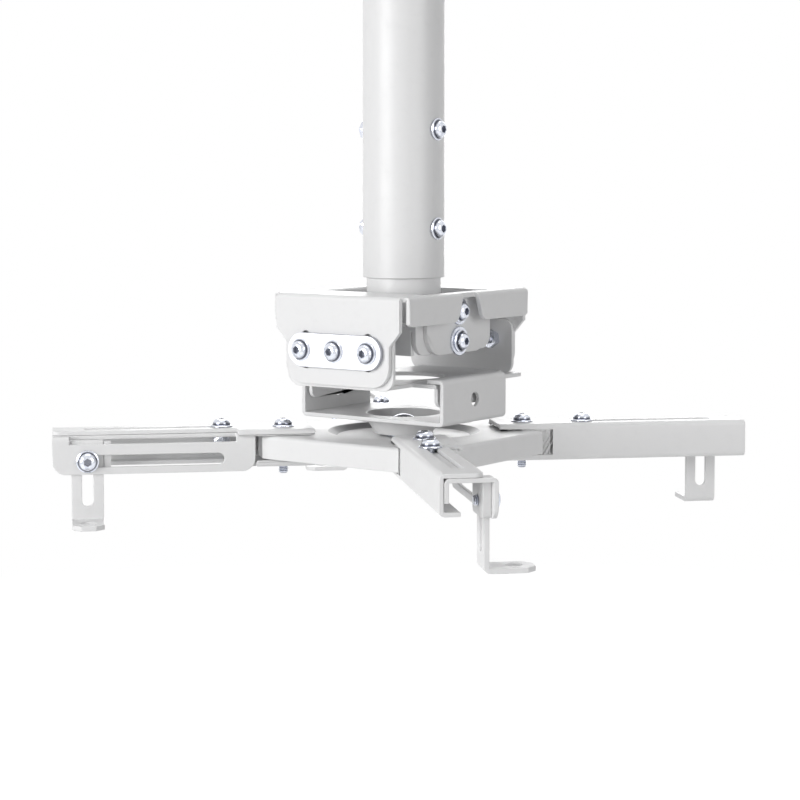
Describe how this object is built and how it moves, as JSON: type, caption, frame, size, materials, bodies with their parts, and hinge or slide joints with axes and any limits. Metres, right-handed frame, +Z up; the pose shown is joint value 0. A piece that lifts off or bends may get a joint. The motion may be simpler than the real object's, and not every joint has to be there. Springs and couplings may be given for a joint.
{
  "type": "projector ceiling mount",
  "caption": "White steel ceiling mount for a projector: telescoping column, tilting and rolling head, slide-on bracket and swivel spider with telescoping arms and height hooks.",
  "frame": {"origin": "centre of the ceiling plate's upper face, which is the centre of its screw holes", "axes": "+Z up towards the ceiling; the tilt hinge lies along X and the roll hinge along Y; the arms lie on the diagonals"},
  "size_m": [0.3334, 0.3334, 0.4499],
  "materials": {
    "white_paint": "fine powder coat, satin",
    "zinc": "bright zinc plating"
  },
  "bodies": {
    "column": {"ceiling_plate": "white_paint", "outer_tube": "white_paint", "column_bolt_low": "zinc", "column_bolt_high": "zinc"},
    "insert": {"inner_tube": "white_paint", "tilt_saddle": "white_paint", "tilt_lock_washer_right": "zinc", "tilt_lock_bolt_right": "zinc", "tilt_lock_washer_left": "zinc", "tilt_lock_bolt_left": "zinc"},
    "head": {"head_box": "white_paint", "tilt_washer_right": "zinc", "tilt_pivot_bolt_right": "zinc", "tilt_washer_left": "zinc", "tilt_pivot_bolt_left": "zinc"},
    "cradle": {"roll_cradle": "white_paint", "roll_strap_front": "zinc", "roll_strap_back": "zinc", "roll_bolt_front_left": "zinc", "roll_bolt_front_middle": "zinc", "roll_bolt_front_right": "zinc", "roll_bolt_back_left": "zinc", "roll_bolt_back_middle": "zinc", "roll_bolt_back_right": "zinc"},
    "bracket": {"lower_bracket": "white_paint", "swivel_washer": "zinc", "swivel_bolt": "zinc"},
    "hub": {"spider": "white_paint"},
    "arm_right": {"arm_right": "white_paint", "arm_bush_right": "zinc", "arm_pivot_bolt_right": "zinc"},
    "extension_right": {"extension_right": "white_paint", "extension_bolt_right": "zinc"},
    "hook_slider_right": {"hook_clip_right": "white_paint", "hook_bolt_right": "zinc"},
    "hook_right": {"hook_right": "white_paint"},
    "arm_back": {"arm_back": "white_paint", "arm_bush_back": "zinc", "arm_pivot_bolt_back": "zinc"},
    "extension_back": {"extension_back": "white_paint", "extension_bolt_back": "zinc"},
    "hook_slider_back": {"hook_clip_back": "white_paint", "hook_bolt_back": "zinc"},
    "hook_back": {"hook_back": "white_paint"},
    "arm_left": {"arm_left": "white_paint", "arm_bush_left": "zinc", "arm_pivot_bolt_left": "zinc"},
    "extension_left": {"extension_left": "white_paint", "extension_bolt_left": "zinc"},
    "hook_slider_left": {"hook_clip_left": "white_paint", "hook_bolt_left": "zinc"},
    "hook_left": {"hook_left": "white_paint"},
    "arm_front": {"arm_front": "white_paint", "arm_bush_front": "zinc", "arm_pivot_bolt_front": "zinc"},
    "extension_front": {"extension_front": "white_paint", "extension_bolt_front": "zinc"},
    "hook_slider_front": {"hook_clip_front": "white_paint", "hook_bolt_front": "zinc"},
    "hook_front": {"hook_front": "white_paint"}
  },
  "joints": [
    {"name": "column_slide", "type": "slide", "parent": "column", "child": "insert", "axis": [0, 0, -1], "range_m": [0, 0.05]},
    {"name": "tilt", "type": "hinge", "parent": "insert", "child": "head", "pos_m": [0, 0, -0.3415], "axis": [1, 0, 0], "range_deg": [-12, 12]},
    {"name": "roll", "type": "hinge", "parent": "head", "child": "cradle", "pos_m": [0, 0, -0.345], "axis": [0, 1, 0], "range_deg": [-12, 12]},
    {"name": "bracket_slide", "type": "slide", "parent": "cradle", "child": "bracket", "axis": [0, 1, 0], "range_m": [-0.025, 0.025]},
    {"name": "swivel", "type": "hinge", "parent": "bracket", "child": "hub", "pos_m": [0, 0, -0.4], "axis": [0, 0, 1], "continuous": true},
    {"name": "arm_swing_right", "type": "hinge", "parent": "hub", "child": "arm_right", "pos_m": [0.05275, 0.05275, -0.4], "axis": [0, 0, 1], "range_deg": [-25, 25]},
    {"name": "arm_extend_right", "type": "slide", "parent": "arm_right", "child": "extension_right", "axis": [0.7071, 0.7071, 0], "range_m": [0, 0.08]},
    {"name": "hook_slide_right", "type": "slide", "parent": "extension_right", "child": "hook_slider_right", "axis": [-0.7071, -0.7071, 0], "range_m": [0, 0.078]},
    {"name": "hook_height_right", "type": "slide", "parent": "hook_slider_right", "child": "hook_right", "axis": [0, 0, 1], "range_m": [0, 0.024]},
    {"name": "arm_swing_back", "type": "hinge", "parent": "hub", "child": "arm_back", "pos_m": [-0.05275, 0.05275, -0.4], "axis": [0, 0, 1], "range_deg": [-25, 25]},
    {"name": "arm_extend_back", "type": "slide", "parent": "arm_back", "child": "extension_back", "axis": [-0.7071, 0.7071, 0], "range_m": [0, 0.08]},
    {"name": "hook_slide_back", "type": "slide", "parent": "extension_back", "child": "hook_slider_back", "axis": [0.7071, -0.7071, 0], "range_m": [0, 0.078]},
    {"name": "hook_height_back", "type": "slide", "parent": "hook_slider_back", "child": "hook_back", "axis": [0, 0, 1], "range_m": [0, 0.024]},
    {"name": "arm_swing_left", "type": "hinge", "parent": "hub", "child": "arm_left", "pos_m": [-0.05275, -0.05275, -0.4], "axis": [0, 0, 1], "range_deg": [-25, 25]},
    {"name": "arm_extend_left", "type": "slide", "parent": "arm_left", "child": "extension_left", "axis": [-0.7071, -0.7071, 0], "range_m": [0, 0.08]},
    {"name": "hook_slide_left", "type": "slide", "parent": "extension_left", "child": "hook_slider_left", "axis": [0.7071, 0.7071, 0], "range_m": [0, 0.078]},
    {"name": "hook_height_left", "type": "slide", "parent": "hook_slider_left", "child": "hook_left", "axis": [0, 0, 1], "range_m": [0, 0.024]},
    {"name": "arm_swing_front", "type": "hinge", "parent": "hub", "child": "arm_front", "pos_m": [0.05275, -0.05275, -0.4], "axis": [0, 0, 1], "range_deg": [-25, 25]},
    {"name": "arm_extend_front", "type": "slide", "parent": "arm_front", "child": "extension_front", "axis": [0.7071, -0.7071, 0], "range_m": [0, 0.08]},
    {"name": "hook_slide_front", "type": "slide", "parent": "extension_front", "child": "hook_slider_front", "axis": [-0.7071, 0.7071, 0], "range_m": [0, 0.078]},
    {"name": "hook_height_front", "type": "slide", "parent": "hook_slider_front", "child": "hook_front", "axis": [0, 0, 1], "range_m": [0, 0.024]}
  ]
}
